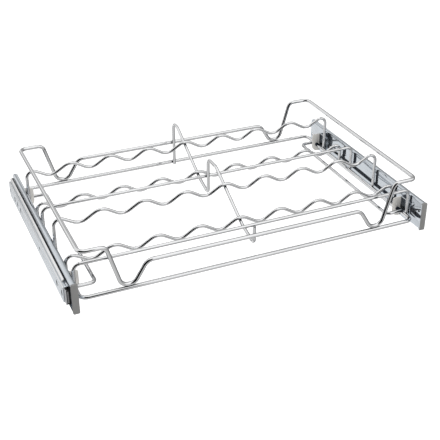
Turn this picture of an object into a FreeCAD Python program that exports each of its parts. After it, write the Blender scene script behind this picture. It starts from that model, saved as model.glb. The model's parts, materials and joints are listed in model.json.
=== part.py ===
import FreeCAD, Part
import math
import os
from FreeCAD import Vector

# Pull-out shoe rack: a chromed wire rack for two rows of shoes, carried by a
# pair of three-member ball-bearing runners that are screwed to the sides of a
# wardrobe.  Millimetres.  X runs across the wardrobe, Y into it, Z up.  The
# origin is at the middle of the whole rack, level with the runners' bottom
# edges.  The rack is modelled pushed home; it pulls out along -Y.

# ---------------------------------------------------------------- runners
CARCASS_CLEAR_WIDTH = 564.0       # between the wardrobe's sides
RUNNER_THICKNESS = 15.8           # from the rack's web to the wardrobe's side
RUNNER_HEIGHT = 46.0
RUNNER_FRONT = -173.0             # front end of the rack channel
RUNNER_BACK = 169.0
CABINET_FRONT = -161.5            # the cabinet member stops short of the bumper
CABINET_BACK = 166.5
MIDDLE_FRONT = -150.0             # the middle member lies between the two
MIDDLE_BACK = 165.0
TRAVEL = 320.0                    # full pull-out of the rack

BALL_DIAMETER = 3.5
RUNNING_GAP = 0.05                # between a ball and each of its tracks
CHANNEL_SHEET = 1.5
MEMBER_SHEET = 1.2
CAGE_SHEET = 0.6
MIDDLE_CLEARANCE = 1.1            # between the channel's web and the middle member's
CHANNEL_BALL = (4.9, 19.7)        # ball centre: outward from web, from mid-height
CABINET_BALL = (10.2, 15.2)
TRACK_GROOVE = 0.3                # how deep a ball runs in its groove
CHANNEL_LIP_ANGLE = -5.0          # how far the lips curl round the balls
MIDDLE_LIP_ANGLE = -15.0
CABINET_LIP = 7.0                 # edge of the cabinet member's flanges, outward from the web
CABINET_CORNER = 2.4
CAGE_CORNER = 1.2
BALLS_PER_ROW = 4
CAGE_LENGTH = 140.0
CAGE_CENTRE = 6.0                 # where both cages stand with the rack home
CHANNEL_CAGE_WEB = CHANNEL_SHEET + 0.25
CABINET_CAGE_WEB = CHANNEL_SHEET + MIDDLE_CLEARANCE + MEMBER_SHEET + 0.3
CAGE_REACH = 1.4                  # of a cage's flange past the ball centres
POCKET_CLEARANCE = 0.15

# ---------------------------------------------------------------- wire rack
THICK_WIRE = 6.0                  # base ring and gallery
CARRIER_WIRE = 5.5
THIN_WIRE = 5.0                   # shoe wires and divider
BASE_HALF_WIDTH = 259.6
GALLERY_HALF_WIDTH = 257.5
RING_FRONT = -162.4
RING_BACK = 173.0
RING_CORNER = 10.0
BASE_Z = 13.0
GALLERY_TOP_Z = 83.8
GALLERY_LOW_Z = 49.5
GALLERY_DIP = (165.2, 184.1, 202.8, 221.3)   # from the middle: end of the low run, seat, seat, top
GALLERY_DIP_BENDS = (15.0, 13.0, 13.0, 10.0)
LEG_HALF_WIDTH = 262.1
LEG_FOOT_Z = 15.5                 # the legs are welded into the base ring's crown

WAVE_PITCH = 64.0
WAVE_AMPLITUDE = 6.3
WAVE_BEND = 20.0
HUMP_BEND = 10.0
HUMP_DROP = 2.0                   # the end humps are this much lower
HALF_WAVES = 7                    # from the middle crest to the last trough
HIGH_WAVE_Z = 67.5
LOW_WAVE_Z = 38.8
HIGH_WAVES_Y = (114.4, -46.7)     # rear row, front row
LOW_WAVES_Y = (59.9, -101.2)
TOE_STOP_Z = 54.7
TOE_STOPS_Y = (23.9, -142.8)

DIVIDER_TOP_Z = 86.5
DIVIDER_FOOT_Z = 11.0
DIVIDER_VALLEY_Z = 26.0
DIVIDER_TIP_Z = 55.0
DIVIDER_BEND = 9.0
BROW_BEND = 14.0
KNEE_BEND = 40.0                  # where the slope passes under the low wavy wire
KNEE_SET_BACK = 6.0
VALLEY_BEND = 6.0

CARRIER_HALF_WIDTH = 231.0
CARRIER_BACK = 138.7
CARRIER_FRONT = -135.5
CARRIER_Z = 15.7
CARRIER_BEND = 8.0

# ---------------------------------------------------------------- brackets
BRACKET_SHEET = 1.5
BRACKET_TAB_Y = (134.5, -122.5)   # front faces of the rear and front tabs
BRACKET_TAB_WIDTH = 15.7
BRACKET_FLANGE = 24.0
BRACKET_BOTTOM = 0.5
BRACKET_TOP = 33.0
BRACKET_LOW_ROUND = 11.0
BRACKET_HIGH_ROUND = 3.0
BRACKET_CLEARANCE = 0.4           # of the ring in the tab's hole

BUMPER_SHEET = 3.0
BUMPER_TAB_SHEET = 1.2
BUMPER_TAB_BACK = -147.0
BUMPER_TAB_ROOT = (14.0, 39.0)    # lowest and highest, where the tab leaves the bumper
BUMPER_TAB_TIP = (19.5, 27.5)
BUMPER_TAB_ROUND = 3.5
BUMPER_ROUND = 1.5
RIVET_RADIUS = 1.6
RIVET_HEAD = 0.8
BUMPER_RIVETS = ((-151.0, 23.5), (-162.5, 30.0), (-169.0, 30.5), (-169.0, 24.0))

# ---------------------------------------------------------------- cabinet holes
SCREW_HOLE_RADIUS = 2.3
SCREW_HOLES_Y = (160.0, -32.0)
SCREW_SLOTS_Y = (127.0, 109.0, 88.0, -127.5, -153.0)
SLOT_LENGTH = 9.0
CABINET_LOW_ROUND = 8.0           # the web's corners at both ends
CABINET_HIGH_ROUND = 3.0
END_HOLE_RADIUS = 2.5             # at the back end of the rack channel
END_HOLE_INSET = 6.0
END_HOLE_DROP = 3.0               # below mid-height

STOP_SPAN = (7.5, 14.4)           # outward from the rack's web
STOP_HALF_HEIGHT = 11.0
STOP_PLUG_DEPTH = 9.0
STOP_GAP = 3.0
STOP_FACE = 2.5

WIRE_FLATS = 8                    # a wire's section is drawn with this many flats
CHORD_ANGLE = 24.0                # and its bends with chords of at most this turn
SMALL_RADIUS = 4.0                # rounds smaller than this have chords of a larger turn
SMALL_CHORD_ANGLE = 45.0
TOUCHING = 1e-6

HALF_OUTER = CARCASS_CLEAR_WIDTH / 2
WEB_X = HALF_OUTER - RUNNER_THICKNESS
MID_Z = RUNNER_HEIGHT / 2
BALL_RADIUS = BALL_DIAMETER / 2
SIDES = {"left": -1, "right": 1}
AXIS_X = Vector(1, 0, 0)
AXIS_Y = Vector(0, 1, 0)
AXIS_Z = Vector(0, 0, 1)


# ---------------------------------------------------------------- bent lines
def bent_path(points, bends, closed=False):
    """Straight runs joined by tangent arcs: one bend radius per inner point, 0 for a sharp corner."""
    count = len(points)
    cuts = [(point, point, point) for point in points]
    inner = range(count) if closed else range(1, count - 1)
    for index, radius in zip(inner, bends):
        if radius == 0:
            continue
        corner = points[index]
        back = (points[index - 1] - corner).normalize()
        onward = (points[(index + 1) % count] - corner).normalize()
        half = back.getAngle(onward) / 2
        reach = radius / math.tan(half)
        middle = (back + onward).normalize() * (radius / math.sin(half) - radius)
        cuts[index] = (corner + back * reach, corner + middle, corner + onward * reach)
    edges = []
    for index in range(count if closed else count - 1):
        start = cuts[index][2]
        arc = cuts[(index + 1) % count]
        if (arc[0] - start).Length > TOUCHING:
            edges.append(Part.LineSegment(start, arc[0]).toShape())
        if (arc[2] - arc[0]).Length > TOUCHING:
            edges.append(Part.Arc(*arc).toShape())
    return Part.Wire(edges)


def path_knots(path, closed):
    """Points along a path: the ends of its straight runs, and its arcs divided into even chords."""
    knots = []
    for edge in path.OrderedEdges:
        chords = 1
        if edge.Curve.TypeId == "Part::GeomCircle":
            radius = edge.Curve.Radius
            widest = CHORD_ANGLE if radius > SMALL_RADIUS else SMALL_CHORD_ANGLE
            chords = math.ceil(math.degrees(edge.Length / radius) / widest - TOUCHING)
        knots += edge.discretize(chords + 1)[:-1]
    if not closed:
        knots.append(path.OrderedVertexes[-1].Point)
    return knots


def flat_face(corners):
    return Part.Face(Part.makePolygon(corners + corners[:1]))


def rounded_plate(points, bends, thickness):
    """A flat plate with rounded corners; thickness is the vector from its outline to its far face."""
    outline = path_knots(bent_path(points, bends, closed=True), closed=True)
    return flat_face(outline).extrude(thickness)


def wire_section(centre, along, diameter):
    """The wire's section, a regular polygon with the area of the round wire."""
    across = along.cross(AXIS_Z)
    if across.Length < TOUCHING:
        across = along.cross(AXIS_Y)
    across.normalize()
    upward = along.cross(across)
    step = 2 * math.pi / WIRE_FLATS
    radius = diameter / 2 * math.sqrt(step / math.sin(step))
    corners = []
    for index in range(WIRE_FLATS):
        angle = (index + 0.5) * step
        corners.append(centre + across * (radius * math.cos(angle)) + upward * (radius * math.sin(angle)))
    return corners


def onto_plane(corners, along, point, normal):
    """The corners moved along their run onto the plane through the point."""
    return [corner + along * ((point - corner).dot(normal) / along.dot(normal)) for corner in corners]


def solid_of(faces):
    solid = Part.makeSolid(Part.makeShell(faces))
    if solid.Volume < 0:
        solid.reverse()
    return solid


def bent_wire(points, bends, diameter, closed=False):
    """Wire bent along the points: flat-sided runs that meet on the mitre plane at every knot."""
    path = bent_path([Vector(*point) for point in points], bends, closed)
    knots = path_knots(path, closed)
    if closed:
        knots += knots[:1]
    runs = [(after - before).normalize() for before, after in zip(knots, knots[1:])]
    section = wire_section((knots[0] + knots[1]) / 2, runs[0], diameter)
    first_mitre = runs[-1] + runs[0] if closed else runs[0]
    last_mitre = first_mitre if closed else runs[-1]
    mitres = [first_mitre] + [before + after for before, after in zip(runs, runs[1:])] + [last_mitre]
    rings = []
    for index, knot in enumerate(knots):
        run = runs[max(index - 1, 0)]
        section = onto_plane(section, run, knot, mitres[index])
        rings.append(section)
    faces = []
    for near, far in zip(rings, rings[1:]):
        for side in range(WIRE_FLATS):
            faces.append(flat_face([near[side - 1], near[side], far[side], far[side - 1]]))
    if not closed:
        faces += [flat_face(rings[0]), flat_face(rings[-1])]
    return solid_of(faces)


def mirrored_run(half):
    """A left-to-right run of (x, z) points from the points of its right half, outermost last."""
    return [(-x, z) for x, z in reversed(half)] + list(half)


# ---------------------------------------------------------------- wires
def base_ring():
    corners = [(BASE_HALF_WIDTH, RING_BACK), (BASE_HALF_WIDTH, RING_FRONT)]
    corners += [(-BASE_HALF_WIDTH, RING_FRONT), (-BASE_HALF_WIDTH, RING_BACK)]
    points = [(x, y, BASE_Z) for x, y in corners]
    return bent_wire(points, [RING_CORNER] * 4, THICK_WIRE, closed=True)


def gallery_ring():
    """The high ring; its front and back runs drop to rest on the base ring, then rise half way."""
    seat = BASE_Z + THICK_WIRE
    run = list(zip(GALLERY_DIP, (GALLERY_LOW_Z, seat, seat, GALLERY_TOP_Z)))
    run += [(GALLERY_HALF_WIDTH, GALLERY_TOP_Z)]
    run_bends = [*GALLERY_DIP_BENDS, RING_CORNER]
    profile = mirrored_run(run)
    bends = list(reversed(run_bends)) + run_bends
    front = [(x, RING_FRONT, z) for x, z in profile]
    back = [(x, RING_BACK, z) for x, z in reversed(profile)]
    return bent_wire(front + back, bends + bends, THICK_WIRE, closed=True)


def wavy_wire(y, z):
    """A shoe wire: a wave of tangent arcs and straight slopes, ending in two humps and two legs."""
    quarter = WAVE_PITCH / 2
    slope = 0.0
    for _ in range(20):               # the straight slope is tangent to the bends at its ends
        apex = WAVE_AMPLITUDE + WAVE_BEND * (1 / math.cos(slope) - 1)
        slope = math.atan2(2 * apex, quarter)
    half = []
    for index in range(1, HALF_WAVES + 1):
        half.append((index * quarter, z + apex * (-1) ** index))
    last_x, last_z = half[-1]
    across = LEG_HALF_WIDTH - HUMP_BEND - last_x
    rise = z + WAVE_AMPLITUDE - HUMP_DROP - HUMP_BEND - last_z
    climb = math.atan2(rise, across) + math.asin(HUMP_BEND / math.hypot(across, rise))
    hump = (LEG_HALF_WIDTH, last_z + (LEG_HALF_WIDTH - last_x) * math.tan(climb))
    half += [hump, (LEG_HALF_WIDTH, LEG_FOOT_Z)]
    run = [(-x, height) for x, height in reversed(half)] + [(0.0, z + apex)] + half
    bends = [HUMP_BEND] + [WAVE_BEND] * (2 * HALF_WAVES + 1) + [HUMP_BEND]
    return bent_wire([(x, y, height) for x, height in run], bends, THIN_WIRE)


def toe_stop(y):
    run = mirrored_run([(LEG_HALF_WIDTH, TOE_STOP_Z), (LEG_HALF_WIDTH, LEG_FOOT_Z)])
    return bent_wire([(x, y, z) for x, z in run], [HUMP_BEND, HUMP_BEND], THIN_WIRE)


def divider():
    """The middle wire: a peak behind each row, then a fall under the crests of its two wavy wires."""
    fall = (HIGH_WAVE_Z - LOW_WAVE_Z) / (HIGH_WAVES_Y[0] - LOW_WAVES_Y[0])
    below_crest = THIN_WIRE * math.hypot(1, fall)
    under_high = HIGH_WAVE_Z + WAVE_AMPLITUDE - below_crest
    under_low = LOW_WAVE_Z + WAVE_AMPLITUDE - below_crest
    upright = RING_BACK - (THICK_WIRE + THIN_WIRE) / 2
    run = [(upright, DIVIDER_FOOT_Z)]
    for high_y, low_y, stop_y in zip(HIGH_WAVES_Y, LOW_WAVES_Y, TOE_STOPS_Y):
        brow_y = high_y + (DIVIDER_TOP_Z - under_high) / fall
        next_upright = stop_y - THIN_WIRE
        knee = (low_y - KNEE_SET_BACK, under_low - KNEE_SET_BACK * fall)
        run += [(upright, DIVIDER_TOP_Z), (brow_y, DIVIDER_TOP_Z), knee, (next_upright, DIVIDER_VALLEY_Z)]
        upright = next_upright
    run += [(upright, DIVIDER_TIP_Z)]
    bends = [DIVIDER_BEND, BROW_BEND, KNEE_BEND, VALLEY_BEND] * 2
    return bent_wire([(0.0, y, z) for y, z in run], bends, THIN_WIRE)


def carrier_wire(side):
    """A flat U of wire with both ends butted on the base ring's side rail."""
    end = BASE_HALF_WIDTH - THICK_WIRE / 2
    run = [(end, CARRIER_BACK), (CARRIER_HALF_WIDTH, CARRIER_BACK)]
    run += [(CARRIER_HALF_WIDTH, CARRIER_FRONT), (end, CARRIER_FRONT)]
    points = [(side * x, y, CARRIER_Z) for x, y in run]
    return bent_wire(points, [CARRIER_BEND] * 2, CARRIER_WIRE)


# ---------------------------------------------------------------- rolled sections
def place(side, out, height):
    """A point in the runner's section: out from the rack's web, height from mid-height."""
    return Vector(side * (WEB_X + out), 0, MID_Z + height)


def arc_points(centre, radius, start, end):
    """Three points of an arc round a centre in the section, angles in degrees."""
    angles = (start, (start + end) / 2, end)
    points = []
    for angle in angles:
        turn = math.radians(angle)
        points.append((centre[0] + radius * math.cos(turn), centre[1] + radius * math.sin(turn)))
    return points


def section_wire(side, moves):
    """A closed section from moves: each is the next corner, or three points of an arc."""
    edges = []
    first = moves[0][-1]
    current = first
    for move in moves[1:] + [[first]]:
        start = move[0]
        if math.dist(start, current) > TOUCHING:
            edges.append(Part.LineSegment(place(side, *current), place(side, *start)).toShape())
        if len(move) == 3:
            edges.append(Part.Arc(*[place(side, *point) for point in move]).toShape())
        current = move[-1]
    return Part.Wire(edges)


def rolled(side, upper_moves, front, back):
    """A member rolled to a section; the moves of its upper half are mirrored for the lower half."""
    lower_moves = [[(out, -height) for out, height in reversed(move)] for move in reversed(upper_moves)]
    face = Part.Face(section_wire(side, upper_moves + lower_moves))
    face.translate(Vector(0, front, 0))
    return face.extrude(Vector(0, back - front, 0))


def groove(ball, radius):
    """The groove under a ball in the top of a flange: the arc from its far edge to its near edge."""
    out, bottom = ball[0], ball[1] - radius
    half = math.sqrt(radius ** 2 - (radius - TRACK_GROOVE) ** 2)
    edge = bottom + TRACK_GROOVE
    return [(out + half, edge), (out, bottom), (out - half, edge)]


def channel_section():
    """Rack channel: a C whose lips curl round the channel balls."""
    ball = CHANNEL_BALL
    inner = BALL_RADIUS + RUNNING_GAP
    outer = inner + CHANNEL_SHEET
    corner = (outer, RUNNER_HEIGHT / 2 - outer)
    return [
        [(0, 0)],
        arc_points(corner, outer, 180, 90),
        arc_points(ball, outer, 90, CHANNEL_LIP_ANGLE),
        arc_points(ball, inner, CHANNEL_LIP_ANGLE, 90),
        arc_points(corner, inner, 90, 180),
        [(CHANNEL_SHEET, 0)],
    ]


def middle_section():
    """Middle member: carries the channel balls on its back and hooks round the cabinet balls."""
    web = CHANNEL_SHEET + MIDDLE_CLEARANCE
    ball_height = CABINET_BALL[1]
    inner = BALL_RADIUS + RUNNING_GAP
    outer = inner + MEMBER_SHEET
    top = ball_height + outer
    track = groove(CHANNEL_BALL, inner)
    corner_radius = track[-1][0] - web
    corner = (web + corner_radius, top - corner_radius)
    return [
        [(web, 0)],
        arc_points(corner, corner_radius, 180, 90),
        list(reversed(track)),
        arc_points(CABINET_BALL, outer, 90, MIDDLE_LIP_ANGLE),
        arc_points(CABINET_BALL, inner, MIDDLE_LIP_ANGLE, 90),
        [(web + MEMBER_SHEET, top - MEMBER_SHEET)],
        [(web + MEMBER_SHEET, 0)],
    ]


def cabinet_half_height():
    return CABINET_BALL[1] - BALL_RADIUS - RUNNING_GAP + TRACK_GROOVE


def cabinet_section():
    """Cabinet member: a C that lies open to the rack, its flanges grooved for the cabinet balls."""
    inner = BALL_RADIUS + RUNNING_GAP
    half_height = cabinet_half_height()
    corner = (RUNNER_THICKNESS - CABINET_CORNER, half_height - CABINET_CORNER)
    track = groove(CABINET_BALL, inner)
    return [
        [(RUNNER_THICKNESS, 0)],
        arc_points(corner, CABINET_CORNER, 0, 90),
        track,
        [(CABINET_LIP, half_height)],
        [(CABINET_LIP, half_height - MEMBER_SHEET)],
        arc_points(corner, CABINET_CORNER - MEMBER_SHEET, 90, 0),
        [(RUNNER_THICKNESS - MEMBER_SHEET, 0)],
    ]


def cage_section(web, ball, reach):
    """A ball cage: a thin C whose flanges pass through the middles of the balls."""
    top = ball[1] + CAGE_SHEET / 2
    corner = (web + CAGE_CORNER, top - CAGE_CORNER)
    return [
        [(web, 0)],
        arc_points(corner, CAGE_CORNER, 180, 90),
        [(reach, top)],
        [(reach, top - CAGE_SHEET)],
        arc_points(corner, CAGE_CORNER - CAGE_SHEET, 90, 180),
        [(web + CAGE_SHEET, 0)],
    ]


def ball_places(side, ball):
    """Centres of the balls in the top and bottom rows of one cage."""
    pitch = CAGE_LENGTH / BALLS_PER_ROW
    places = []
    for index in range(BALLS_PER_ROW):
        y = CAGE_CENTRE + (index - (BALLS_PER_ROW - 1) / 2) * pitch
        for height in (ball[1], -ball[1]):
            places.append(place(side, ball[0], height) + AXIS_Y * y)
    return places


def ball_cage(side, web, ball):
    """A cage with an open pocket for every ball."""
    reach = ball[0] + CAGE_REACH
    half_pocket = BALL_RADIUS + POCKET_CLEARANCE
    front = CAGE_CENTRE - CAGE_LENGTH / 2
    cage = rolled(side, cage_section(web, ball, reach), front, front + CAGE_LENGTH)
    for centre in ball_places(side, ball):
        low = centre - Vector(half_pocket, half_pocket, 2 * CAGE_SHEET)
        cage = cage.cut(Part.makeBox(2 * half_pocket, 2 * half_pocket, 4 * CAGE_SHEET, low))
    return cage


def ball_at(centre):
    """One ball, drawn with twenty flats: two poles and two staggered rings of five corners."""
    ring_height = BALL_RADIUS / math.sqrt(5)
    poles = [centre + AXIS_Z * BALL_RADIUS, centre - AXIS_Z * BALL_RADIUS]
    rings = ([], [])
    for index in range(10):
        angle = index * math.pi / 5
        level = ring_height if index % 2 == 0 else -ring_height
        corner = Vector(2 * ring_height * math.cos(angle), 2 * ring_height * math.sin(angle), level)
        rings[index % 2].append(centre + corner)
    faces = []
    for index in range(5):
        following = (index + 1) % 5
        high, next_high = rings[0][index], rings[0][following]
        low, next_low = rings[1][index], rings[1][following]
        for corners in ((poles[0], high, next_high), (high, low, next_high),
                        (low, next_low, next_high), (poles[1], next_low, low)):
            faces.append(flat_face(list(corners)))
    return solid_of(faces)


def balls(side, ball):
    return Part.makeCompound([ball_at(centre) for centre in ball_places(side, ball)])


# ---------------------------------------------------------------- runner members
def web_hole(side, y, z, radius, start, depth):
    """The cutter for a round hole through a web, drilled outward from start."""
    return Part.makeCylinder(radius, depth, Vector(side * start, y, z), AXIS_X * side)


def rack_channel(side):
    """The member that carries the rack, with a small round hole near its back end."""
    channel = rolled(side, channel_section(), RUNNER_FRONT, RUNNER_BACK)
    y, z = RUNNER_BACK - END_HOLE_INSET, MID_Z - END_HOLE_DROP
    start = WEB_X - CHANNEL_SHEET
    return channel.cut(web_hole(side, y, z, END_HOLE_RADIUS, start, 3 * CHANNEL_SHEET))


def middle_member(side):
    return rolled(side, middle_section(), MIDDLE_FRONT, MIDDLE_BACK)


def upright_slot(side, y):
    """The cutter for an upright screw slot through the cabinet member's web."""
    x = side * (HALF_OUTER - 2 * MEMBER_SHEET)
    low, high = MID_Z - SLOT_LENGTH / 2, MID_Z + SLOT_LENGTH / 2
    near, far = y - SCREW_HOLE_RADIUS, y + SCREW_HOLE_RADIUS
    points = [Vector(x, near, low), Vector(x, far, low), Vector(x, far, high), Vector(x, near, high)]
    return rounded_plate(points, [SCREW_HOLE_RADIUS] * 4, AXIS_X * side * 4 * MEMBER_SHEET)


def cabinet_member(side):
    """The member screwed to the wardrobe, with round holes, upright slots and rounded ends."""
    member = rolled(side, cabinet_section(), CABINET_FRONT, CABINET_BACK)
    half_height = cabinet_half_height()
    corners = [(CABINET_FRONT, -half_height), (CABINET_BACK, -half_height)]
    corners += [(CABINET_BACK, half_height), (CABINET_FRONT, half_height)]
    points = [Vector(side * WEB_X, y, MID_Z + z) for y, z in corners]
    rounds = [CABINET_LOW_ROUND] * 2 + [CABINET_HIGH_ROUND] * 2
    outline = rounded_plate(points, rounds, AXIS_X * side * 2 * RUNNER_THICKNESS)
    member = member.common(outline)
    for y in SCREW_HOLES_Y:
        start = HALF_OUTER - 2 * MEMBER_SHEET
        member = member.cut(web_hole(side, y, MID_Z, SCREW_HOLE_RADIUS, start, 4 * MEMBER_SHEET))
    for y in SCREW_SLOTS_Y:
        member = member.cut(upright_slot(side, y))
    return member


def block(side, near, far, y, depth, half_height):
    """A box in the runner's section from near to far out, centred on the runner's height."""
    corner = Vector(min(side * (WEB_X + near), side * (WEB_X + far)), y, MID_Z - half_height)
    return Part.makeBox(far - near, depth, 2 * half_height, corner)


def front_stop(side):
    """The moulded stop in the cabinet member's front end: a plug, a buffer face and a rib between."""
    inner, outer = STOP_SPAN
    third = (outer - inner) / 3
    plug = block(side, inner, outer, CABINET_FRONT, STOP_PLUG_DEPTH, STOP_HALF_HEIGHT)
    buffer = block(side, inner, outer, CABINET_FRONT - STOP_GAP - STOP_FACE, STOP_FACE, STOP_HALF_HEIGHT)
    rib_front = CABINET_FRONT - STOP_GAP
    rib = block(side, inner + third, outer - third, rib_front, STOP_GAP, STOP_HALF_HEIGHT - third)
    return plug.fuse([buffer, rib]).removeSplitter()


# ---------------------------------------------------------------- brackets and bumpers
def bracket(side, tab_y):
    """Sheet angle welded to the channel's web; the base ring threads the hole in its tab."""
    tip = WEB_X - BRACKET_TAB_WIDTH
    root = WEB_X - BRACKET_SHEET
    corners = [(WEB_X, BRACKET_BOTTOM), (tip, BRACKET_BOTTOM), (tip, BRACKET_TOP), (WEB_X, BRACKET_TOP)]
    points = [Vector(side * x, tab_y, z) for x, z in corners]
    tab = rounded_plate(points, [0, BRACKET_LOW_ROUND, BRACKET_HIGH_ROUND, 0], AXIS_Y * BRACKET_SHEET)
    ring_place = Vector(side * BASE_HALF_WIDTH, tab_y, BASE_Z)
    ring_hole = flat_face(wire_section(ring_place, AXIS_Y, THICK_WIRE + BRACKET_CLEARANCE))
    corners = [(tab_y, BRACKET_BOTTOM), (tab_y - BRACKET_FLANGE, BRACKET_BOTTOM)]
    corners += [(tab_y - BRACKET_FLANGE, BRACKET_TOP), (tab_y, BRACKET_TOP)]
    points = [Vector(side * root, y, z) for y, z in corners]
    rounds = [0, BRACKET_HIGH_ROUND, BRACKET_HIGH_ROUND, 0]
    flange = rounded_plate(points, rounds, AXIS_X * side * BRACKET_SHEET)
    return tab.cut(ring_hole.extrude(AXIS_Y * BRACKET_SHEET)).fuse(flange).removeSplitter()


def bumper(side):
    """The grey cover on the channel's front end, held by a tapering tab on the channel's web."""
    inner = WEB_X - BUMPER_TAB_SHEET
    outer = WEB_X + CHANNEL_BALL[0] + BALL_RADIUS + RUNNING_GAP + CHANNEL_SHEET
    corners = [(inner, 0), (outer, 0), (outer, RUNNER_HEIGHT), (inner, RUNNER_HEIGHT)]
    points = [Vector(side * x, RUNNER_FRONT, z) for x, z in corners]
    cover = rounded_plate(points, [BUMPER_ROUND] * 4, AXIS_Y * -BUMPER_SHEET)
    places = [RUNNER_FRONT, BUMPER_TAB_BACK, BUMPER_TAB_BACK, RUNNER_FRONT]
    heights = [BUMPER_TAB_ROOT[0], *BUMPER_TAB_TIP, BUMPER_TAB_ROOT[1]]
    points = [Vector(side * WEB_X, y, z) for y, z in zip(places, heights)]
    rounds = [0, BUMPER_TAB_ROUND, BUMPER_TAB_ROUND, 0]
    tab = rounded_plate(points, rounds, AXIS_X * side * -BUMPER_TAB_SHEET)
    return cover.fuse(tab).removeSplitter()


def bumper_rivets():
    """The flat-headed rivets on both bumper tabs."""
    root = WEB_X - BUMPER_TAB_SHEET
    heads = []
    for side in SIDES.values():
        for y, z in BUMPER_RIVETS:
            face = flat_face(wire_section(Vector(side * root, y, z), AXIS_X, 2 * RIVET_RADIUS))
            heads.append(face.extrude(AXIS_X * side * -RIVET_HEAD))
    return Part.makeCompound(heads)


# ---------------------------------------------------------------- the whole rack
def build():
    nodes = {
        "base_ring": base_ring(),
        "gallery_ring": gallery_ring(),
        "divider_wire": divider(),
        "bumper_rivets": bumper_rivets(),
    }
    for row, high_y, low_y, stop_y in zip(("rear", "front"), HIGH_WAVES_Y, LOW_WAVES_Y, TOE_STOPS_Y):
        nodes["heel_wire_" + row] = wavy_wire(high_y, HIGH_WAVE_Z)
        nodes["sole_wire_" + row] = wavy_wire(low_y, LOW_WAVE_Z)
        nodes["toe_stop_" + row] = toe_stop(stop_y)
    for name, side in SIDES.items():
        nodes["carrier_wire_" + name] = carrier_wire(side)
        nodes["rack_channel_" + name] = rack_channel(side)
        nodes["middle_member_" + name] = middle_member(side)
        nodes["cabinet_member_" + name] = cabinet_member(side)
        nodes["channel_cage_" + name] = ball_cage(side, CHANNEL_CAGE_WEB, CHANNEL_BALL)
        nodes["cabinet_cage_" + name] = ball_cage(side, CABINET_CAGE_WEB, CABINET_BALL)
        nodes["channel_balls_" + name] = balls(side, CHANNEL_BALL)
        nodes["cabinet_balls_" + name] = balls(side, CABINET_BALL)
        nodes["front_stop_" + name] = front_stop(side)
        nodes["bumper_" + name] = bumper(side)
        for row, tab_y in zip(("rear", "front"), BRACKET_TAB_Y):
            nodes["bracket_" + row + "_" + name] = bracket(side, tab_y)
    return nodes


os.makedirs("parts", exist_ok=True)
for node, shape in build().items():
    shape.exportStep("parts/" + node + ".step")
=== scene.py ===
"""Pull-out shoe rack: bent, chromed wires carried by a pair of ball-bearing runners.

Laid out as an add-on: sizes and finishes are properties, every kind of piece has its
operator, and main() calls them in the order in which the rack is put together.
"""
import json
import math

import bmesh
import bpy
from bpy.props import FloatProperty, FloatVectorProperty, IntProperty, PointerProperty
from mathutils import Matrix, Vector

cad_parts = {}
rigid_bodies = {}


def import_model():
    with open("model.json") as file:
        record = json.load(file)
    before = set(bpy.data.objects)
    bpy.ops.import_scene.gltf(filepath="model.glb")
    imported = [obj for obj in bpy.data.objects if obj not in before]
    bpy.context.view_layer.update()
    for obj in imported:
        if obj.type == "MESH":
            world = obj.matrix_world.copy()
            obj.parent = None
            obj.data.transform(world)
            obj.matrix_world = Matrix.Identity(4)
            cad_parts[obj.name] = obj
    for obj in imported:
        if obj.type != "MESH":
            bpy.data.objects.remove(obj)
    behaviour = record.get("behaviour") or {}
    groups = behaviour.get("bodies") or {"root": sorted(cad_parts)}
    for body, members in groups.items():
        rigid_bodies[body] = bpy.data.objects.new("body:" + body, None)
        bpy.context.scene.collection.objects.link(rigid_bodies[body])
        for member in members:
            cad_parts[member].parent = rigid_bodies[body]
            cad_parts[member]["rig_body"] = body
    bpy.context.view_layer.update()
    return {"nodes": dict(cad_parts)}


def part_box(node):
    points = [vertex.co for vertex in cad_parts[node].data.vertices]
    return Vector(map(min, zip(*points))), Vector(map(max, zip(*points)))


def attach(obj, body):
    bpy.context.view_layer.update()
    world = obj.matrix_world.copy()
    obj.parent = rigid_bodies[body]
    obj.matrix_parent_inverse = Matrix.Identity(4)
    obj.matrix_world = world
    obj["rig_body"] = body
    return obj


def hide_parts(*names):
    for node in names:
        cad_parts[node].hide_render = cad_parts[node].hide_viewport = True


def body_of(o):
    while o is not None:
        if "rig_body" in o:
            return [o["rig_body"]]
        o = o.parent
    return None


bl_info = {
    "name": "Pull-out shoe rack",
    "version": (1, 0, 0),
    "blender": (4, 5, 0),
    "location": "View3D > Sidebar > Shoe Rack",
    "description": "Builds a pull-out wire shoe rack on ball-bearing runners",
    "category": "Object",
}

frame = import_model()

SIDES = {"left": -1, "right": 1}
ROWS = ("rear", "front")

# ---------------------------------------------------------------- how pieces are made
NEAR = 1e-4                          # how near a vertex lies to a place that picks it
WIRE_MERGE = 1e-6
NODE_MERGE = 2e-6
FLAT_ANGLE = math.radians(0.5)       # faces that meet flatter than this are joined
EDGE_ANGLE = math.radians(40)        # edges sharper than this are eased
SMOOTH_ANGLE = math.radians(35)
SEED_SIZE = 0.001                    # width of the plane that shrinks to a wire's first point
BEND_SEGMENTS = 8
EDGE_SEGMENTS = 2
BALL_SEGMENTS = 20
BALL_RINGS = 12
BALL_REACH = 1.1                     # a ball's points lie within this many diameters of each other
RUNNER_EASE = 0.00015
BRACKET_EASE = 0.0003
STOP_EASE = 0.0003
RIVET_EASE = 0.0004
BUMPER_EASE = 0.0005
FIRST_SLOPE = math.radians(31)       # first guess at the shoe wires' steepest slope
SLOPE_ROUNDS = 20
CARRIER_BUTT = 0.45                  # carriers' ends to the rail's middle line, in rail diameters

# ---------------------------------------------------------------- what a second finish covers
FLANGE_REACH = 0.2643                # a bracket's flange lies further out than this
BUMPER_BACK = -0.1726                # a bumper's tab lies behind this
CABINET_WEB_REACH = 0.2807           # the cabinet members' webs lie further out than this
HOLE_SPAN = (-0.159, 0.164)          # their holes lie between these, front to back
HOLE_HALF_HEIGHT = 0.011             # and no further than this from the runners' axis
WALL_LEAN = 0.95                     # a hole's walls face along X by less than this

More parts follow.
